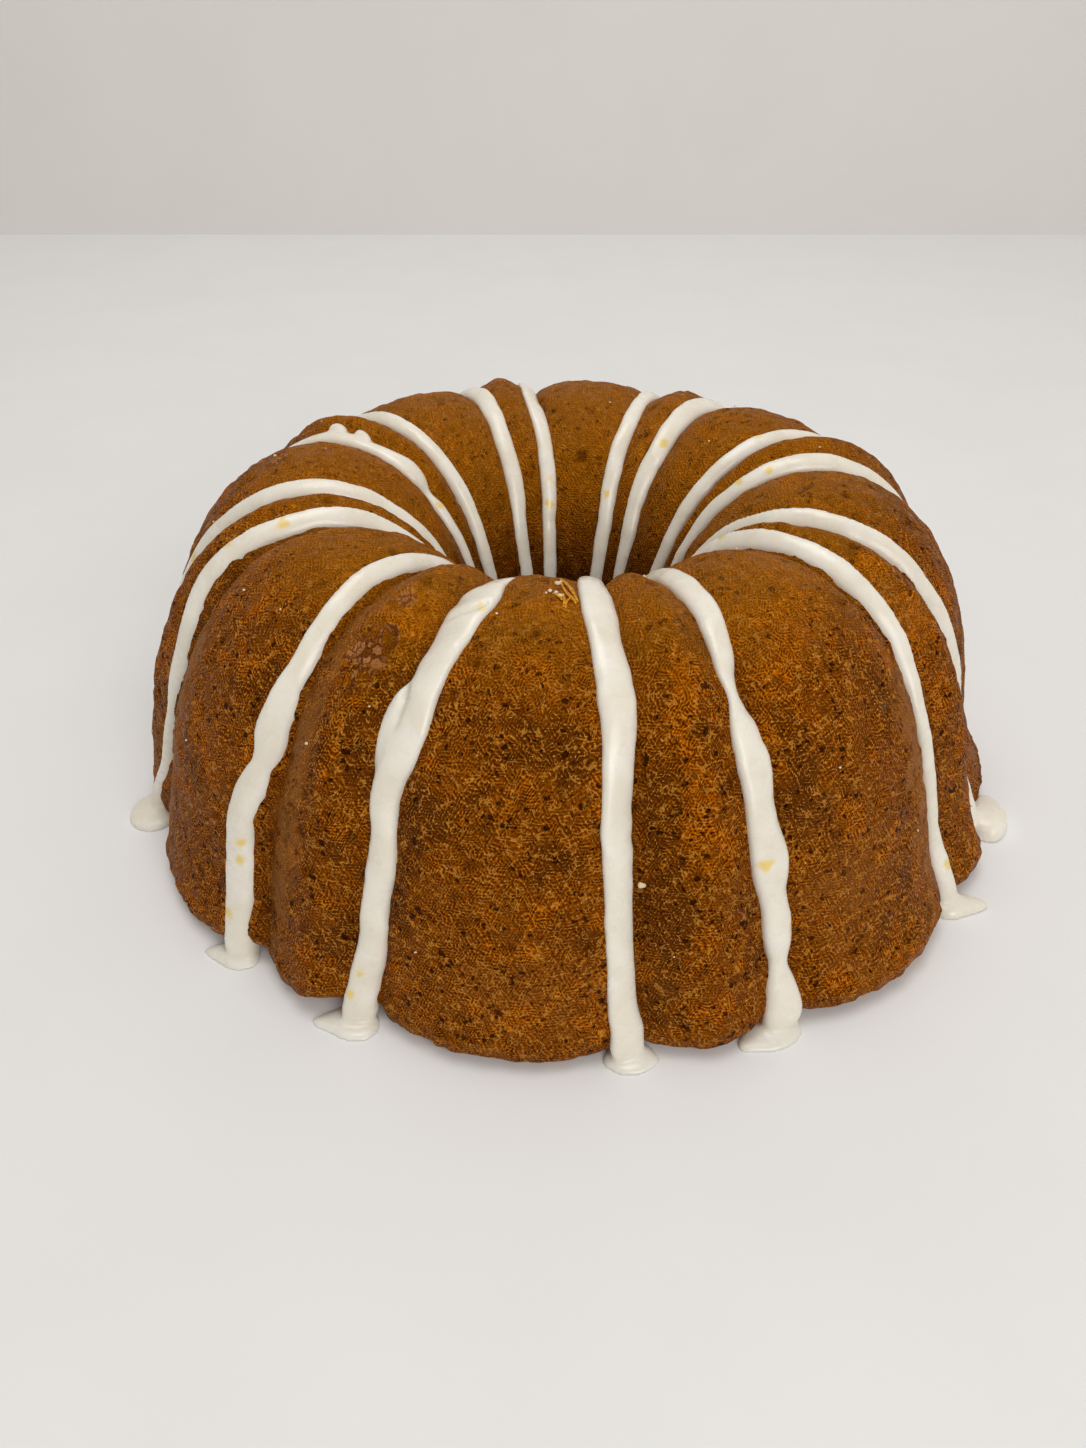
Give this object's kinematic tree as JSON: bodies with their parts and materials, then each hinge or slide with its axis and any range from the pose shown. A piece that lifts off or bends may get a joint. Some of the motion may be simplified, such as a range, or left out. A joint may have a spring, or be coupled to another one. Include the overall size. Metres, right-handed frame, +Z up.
{
  "type": "bundt cake",
  "caption": "Fluted ring cake with a baked golden brown crust, alternate wide and narrow lobes, a funnel-shaped hole and thick white glaze drips down its grooves.",
  "frame": {"origin": "on the axis of the ring, at the height of the flat underside that the cake rests on", "axes": "+Z up along the axis of the ring; -Y towards the front, where the pictured side faces the viewer"},
  "size_m": [0.2468, 0.2485, 0.0872],
  "materials": {
    "crust": "baked crumb crust, golden to dark brown, porous and satin",
    "glaze": "thick white sugar glaze, glossy and slightly translucent, with flecks of yellow zest"
  },
  "bodies": {
    "root": {"bundt_cake": "crust"}
  },
  "joints": []
}
